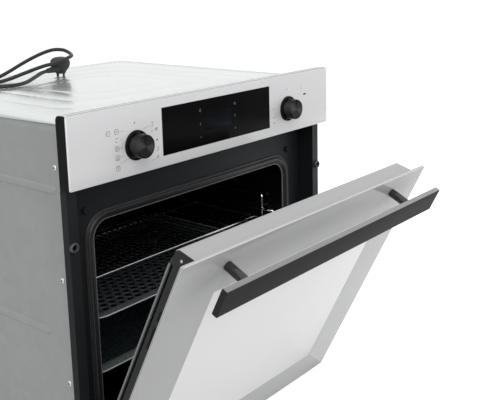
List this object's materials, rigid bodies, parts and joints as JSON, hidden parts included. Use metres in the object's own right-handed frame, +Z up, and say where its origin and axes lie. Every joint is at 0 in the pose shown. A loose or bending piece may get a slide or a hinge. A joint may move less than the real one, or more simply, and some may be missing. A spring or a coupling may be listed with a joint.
{
  "type": "wall oven",
  "caption": "Built-in wall oven with drop-down glass door, bar handle, control fascia with knobs, shelves on side ladders and a mains cord.",
  "frame": {"origin": "centre of the casing's underside", "axes": "+X to the right seen from the front, +Y into the wall, +Z up"},
  "size_m": [0.595, 0.8552, 0.6315],
  "materials": {
    "galvanised_sheet": "satin",
    "bright_screws": "polished",
    "black_frame_paint": "satin",
    "bushing_steel": "satin",
    "buffer_rubber": "matte",
    "gasket_rubber": "satin",
    "black_enamel": "gloss",
    "glass_wool": "matte",
    "chrome_wire": "polished",
    "tray_enamel": "gloss",
    "element_sheath": "matte",
    "motor_steel": "satin",
    "lamp_glass": "gloss",
    "white_fascia_glass": "gloss",
    "white_door_glass": "gloss",
    "black_trim": "satin",
    "display_glass": "gloss",
    "circuit_board": "satin",
    "switch_plastic": "matte",
    "bezel_black": "gloss",
    "knob_dark": "satin",
    "cord_rubber": "matte",
    "hinge_steel": "satin",
    "clear_glass": "gloss",
    "door_profile_grey": "satin",
    "top_cap_grey": "satin",
    "handle_black": "matte"
  },
  "bodies": {
    "cabinet": {"base_plate": "galvanised_sheet", "side_panel_left": "galvanised_sheet", "side_panel_right": "galvanised_sheet", "top_cover": "galvanised_sheet", "back_panel": "galvanised_sheet", "deck_plate": "galvanised_sheet", "casing_screws": "bright_screws", "front_frame": "black_frame_paint", "frame_bushings": "bushing_steel", "door_buffers": "buffer_rubber", "door_gasket": "gasket_rubber", "cavity": "black_enamel", "insulation": "glass_wool", "ladder_left": "chrome_wire", "ladder_right": "chrome_wire", "grill_element": "element_sheath", "ring_element": "element_sheath", "bottom_element": "element_sheath", "fan_cover": "black_enamel", "fan_motor": "motor_steel", "lamp_housing": "galvanised_sheet", "lamp_glass": "lamp_glass", "temperature_probe": "galvanised_sheet", "blower_housing": "galvanised_sheet", "blower_motor": "motor_steel", "fascia_glass": "white_fascia_glass", "fascia_frame": "black_trim", "display_window": "display_glass", "control_board": "circuit_board", "rotary_switches": "switch_plastic", "knob_bezels": "bezel_black", "terminal_box": "switch_plastic", "cord_gland": "cord_rubber", "cord_rear": "cord_rubber", "cord_coil": "cord_rubber", "cord_front": "cord_rubber", "power_plug": "cord_rubber", "hinge_receivers": "galvanised_sheet", "hinge_arms": "hinge_steel"},
    "door": {"hinge_pins": "hinge_steel", "hinge_channels": "hinge_steel", "hinge_springs": "hinge_steel", "outer_glass": "white_door_glass", "middle_glass": "clear_glass", "inner_glass": "clear_glass", "door_side_left": "door_profile_grey", "door_side_right": "door_profile_grey", "door_top_cap": "top_cap_grey", "door_bottom_rail": "door_profile_grey", "handle_bar": "handle_black", "handle_posts": "handle_black", "handle_screws": "bright_screws"},
    "knob_left": {"knob_left": "knob_dark"},
    "knob_right": {"knob_right": "knob_dark"},
    "convection_fan": {"fan_impeller": "galvanised_sheet"},
    "cooling_fan": {"blower_impeller": "galvanised_sheet"},
    "grid": {"wire_grid": "chrome_wire"},
    "perforated": {"perforated_tray": "tray_enamel"},
    "deep": {"deep_tray": "tray_enamel"}
  },
  "joints": [
    {"name": "door_hinge", "type": "hinge", "parent": "cabinet", "child": "door", "pos_m": [0, -0.2705, 0.038], "axis": [1, 0, 0], "range_deg": [-26.8, 63.2]},
    {"name": "function_knob", "type": "hinge", "parent": "cabinet", "child": "knob_left", "pos_m": [-0.177, -0.2935, 0.536], "axis": [0, 1, 0], "range_deg": [0, 320]},
    {"name": "temperature_knob", "type": "hinge", "parent": "cabinet", "child": "knob_right", "pos_m": [0.177, -0.2935, 0.536], "axis": [0, 1, 0], "range_deg": [0, 290]},
    {"name": "convection_spin", "type": "hinge", "parent": "cabinet", "child": "convection_fan", "pos_m": [0, 0.1715, 0.251], "axis": [0, 1, 0], "continuous": true},
    {"name": "cooling_spin", "type": "hinge", "parent": "cabinet", "child": "cooling_fan", "pos_m": [0, 0.0465, 0.49], "axis": [0, 0, 1], "continuous": true},
    {"name": "grid_slide", "type": "slide", "parent": "cabinet", "child": "grid", "axis": [0, -1, 0], "range_m": [0, 0.18]},
    {"name": "perforated_slide", "type": "slide", "parent": "cabinet", "child": "perforated", "axis": [0, -1, 0], "range_m": [0, 0.13]},
    {"name": "deep_slide", "type": "slide", "parent": "cabinet", "child": "deep", "axis": [0, -1, 0], "range_m": [0, 0.07]}
  ]
}
